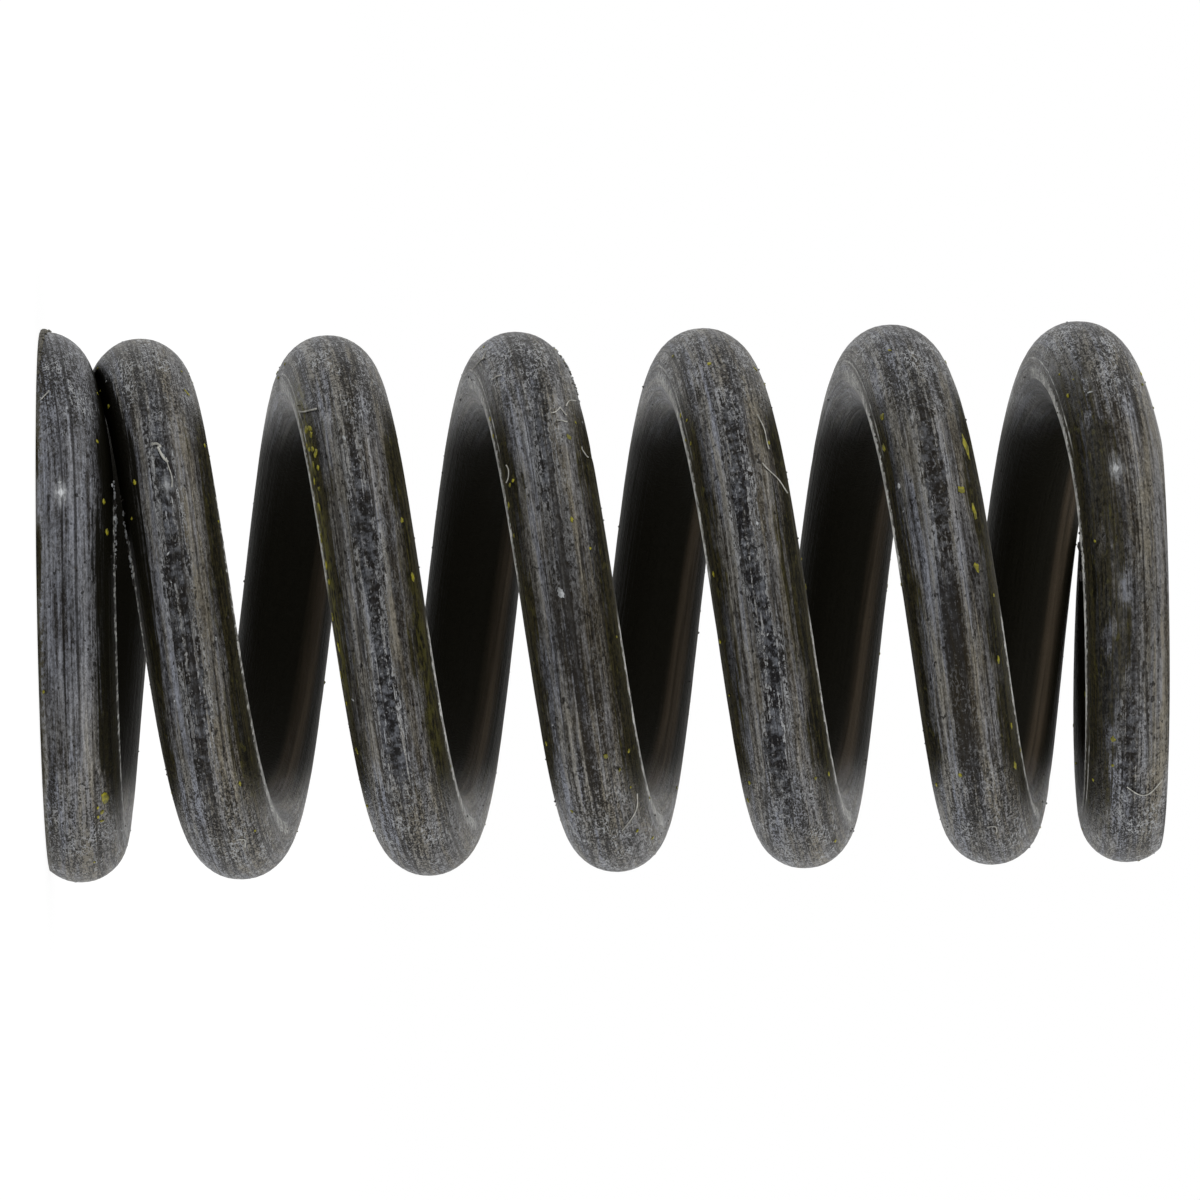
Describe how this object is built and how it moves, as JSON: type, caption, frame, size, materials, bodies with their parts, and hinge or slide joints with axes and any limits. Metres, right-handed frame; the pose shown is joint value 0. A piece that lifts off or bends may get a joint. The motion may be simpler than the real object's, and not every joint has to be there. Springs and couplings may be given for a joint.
{
  "type": "detent spring",
  "caption": "Short compression spring of round dark steel wire, wound right-handed, with closed and ground ends, that pushes a detent ball or plunger.",
  "frame": {"origin": "centre of the ground base face, on the coil's axis", "axes": "+Z along the coil's axis, from the base face up to the top face; the base tip of the wire starts near -X"},
  "size_m": [0.0071, 0.007, 0.0143],
  "materials": {
    "spring_wire": "dark drawn spring steel wire, semi-matte, with fine lines along the wire, rub marks of the coiling tools and traces of yellow marking paint"
  },
  "bodies": {
    "root": {"detent_spring": "spring_wire"}
  },
  "joints": []
}
